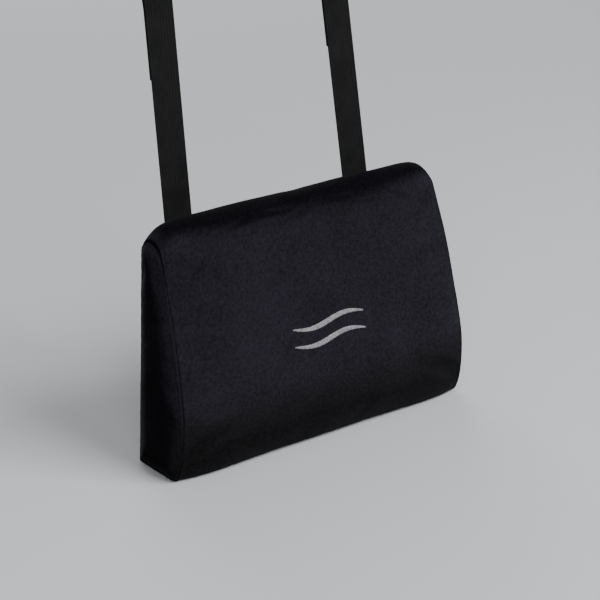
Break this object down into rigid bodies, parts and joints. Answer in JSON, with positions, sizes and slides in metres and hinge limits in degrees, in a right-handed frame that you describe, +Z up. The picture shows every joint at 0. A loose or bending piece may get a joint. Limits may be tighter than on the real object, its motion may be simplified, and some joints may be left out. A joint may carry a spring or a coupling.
{
  "type": "lumbar support cushion",
  "caption": "Wedge-shaped lumbar cushion in dark velour, with a rear zip, webbing straps, side-release buckles and hanging loops.",
  "frame": {"origin": "middle of the cushion's flat bottom, width and depth", "axes": "+X to the right of someone who faces the cushion's front; +Y towards the backrest, out of the flat back; +Z up, along the straps"},
  "size_m": [0.335, 0.1693, 0.5499],
  "materials": {
    "velour": "short-pile velour, blue-black, matt with a soft sheen",
    "foam": "slow-recovery memory foam, cream",
    "liner": "thin non-woven liner, pale grey",
    "mark_thread": "silver-grey satin embroidery",
    "label_satin": "white satin, blank",
    "zip_tape": "woven zip tape, black",
    "zip_coil": "nylon coil, black",
    "zip_metal": "black lacquered zinc",
    "webbing": "flat ribbed webbing, black",
    "buckle_nylon": "moulded acetal, black, fine satin"
  },
  "bodies": {
    "cushion": {"foam_core": "foam", "inner_liner": "liner", "cover_wrap": "velour", "cover_side_left": "velour", "cover_side_right": "velour", "cover_back_upper": "velour", "cover_back_lower": "velour", "mark_wave_upper": "mark_thread", "mark_wave_lower": "mark_thread", "care_label": "label_satin", "zip_tape_upper": "zip_tape", "zip_tape_lower": "zip_tape", "zip_row_upper": "zip_coil", "zip_row_lower": "zip_coil", "zip_stop_closed_end": "zip_metal", "zip_stop_open_end": "zip_metal", "strap_run_left": "webbing", "strap_run_right": "webbing"},
    "zip_slider": {"zip_slider": "zip_metal"},
    "zip_pull": {"zip_pull": "zip_metal"},
    "left_buckle_male": {"buckle_male_left": "buckle_nylon", "strap_turn_left": "webbing"},
    "left_strap_tail": {"strap_tail_left": "webbing"},
    "left_prong_outer": {"buckle_prong_outer_left": "buckle_nylon"},
    "left_prong_inner": {"buckle_prong_inner_left": "buckle_nylon"},
    "left_buckle_female": {"buckle_female_left": "buckle_nylon", "strap_loop_left": "webbing"},
    "right_buckle_male": {"buckle_male_right": "buckle_nylon", "strap_turn_right": "webbing"},
    "right_strap_tail": {"strap_tail_right": "webbing"},
    "right_prong_outer": {"buckle_prong_outer_right": "buckle_nylon"},
    "right_prong_inner": {"buckle_prong_inner_right": "buckle_nylon"},
    "right_buckle_female": {"buckle_female_right": "buckle_nylon", "strap_loop_right": "webbing"}
  },
  "joints": [
    {"name": "zip_slide", "type": "slide", "parent": "cushion", "child": "zip_slider", "axis": [-1, 0, 0], "range_m": [0, 0.234]},
    {"name": "zip_pull_hinge", "type": "hinge", "parent": "zip_slider", "child": "zip_pull", "pos_m": [0.117, 0.04055, 0.032], "axis": [0, 0, -1], "range_deg": [0, 170]},
    {"name": "left_length_adjust", "type": "slide", "parent": "cushion", "child": "left_buckle_male", "axis": [-0.0241, -0.1564, -0.9874], "range_m": [0, 0.06], "deforming": ["strap_run_left"]},
    {"name": "left_tail_feed", "type": "slide", "parent": "left_buckle_male", "child": "left_strap_tail", "axis": [-0.0241, -0.1564, -0.9874], "range_m": [0, 0.06]},
    {"name": "left_buckle_release", "type": "slide", "parent": "left_buckle_male", "child": "left_buckle_female", "axis": [0.0241, 0.1564, 0.9874], "range_m": [0, 0.03], "deforming": ["buckle_prong_outer_left", "buckle_prong_inner_left"]},
    {"name": "left_prong_outer_squeeze", "type": "hinge", "parent": "left_buckle_male", "child": "left_prong_outer", "pos_m": [-0.10896, 0.10263, 0.44835], "axis": [-0.0038, 0.9877, -0.1564], "range_deg": [0, 13], "stiffness_Nm_per_rad": 0.3},
    {"name": "left_prong_inner_squeeze", "type": "hinge", "parent": "left_buckle_male", "child": "left_prong_inner", "pos_m": [-0.08536, 0.10263, 0.44777], "axis": [0.0038, -0.9877, 0.1564], "range_deg": [0, 13], "stiffness_Nm_per_rad": 0.3},
    {"name": "right_length_adjust", "type": "slide", "parent": "cushion", "child": "right_buckle_male", "axis": [0.0241, -0.1564, -0.9874], "range_m": [0, 0.06], "deforming": ["strap_run_right"]},
    {"name": "right_tail_feed", "type": "slide", "parent": "right_buckle_male", "child": "right_strap_tail", "axis": [0.0241, -0.1564, -0.9874], "range_m": [0, 0.06]},
    {"name": "right_buckle_release", "type": "slide", "parent": "right_buckle_male", "child": "right_buckle_female", "axis": [-0.0241, 0.1564, 0.9874], "range_m": [0, 0.03], "deforming": ["buckle_prong_outer_right", "buckle_prong_inner_right"]},
    {"name": "right_prong_outer_squeeze", "type": "hinge", "parent": "right_buckle_male", "child": "right_prong_outer", "pos_m": [0.10896, 0.10263, 0.44835], "axis": [-0.0038, -0.9877, 0.1564], "range_deg": [0, 13], "stiffness_Nm_per_rad": 0.3},
    {"name": "right_prong_inner_squeeze", "type": "hinge", "parent": "right_buckle_male", "child": "right_prong_inner", "pos_m": [0.08536, 0.10263, 0.44777], "axis": [0.0038, 0.9877, -0.1564], "range_deg": [0, 13], "stiffness_Nm_per_rad": 0.3}
  ],
  "couplings": [
    {"joint": "left_tail_feed", "follows": "left_length_adjust", "ratio": 1},
    {"joint": "left_prong_inner_squeeze", "follows": "left_prong_outer_squeeze", "ratio": 1},
    {"joint": "right_tail_feed", "follows": "right_length_adjust", "ratio": 1},
    {"joint": "right_prong_inner_squeeze", "follows": "right_prong_outer_squeeze", "ratio": 1}
  ]
}
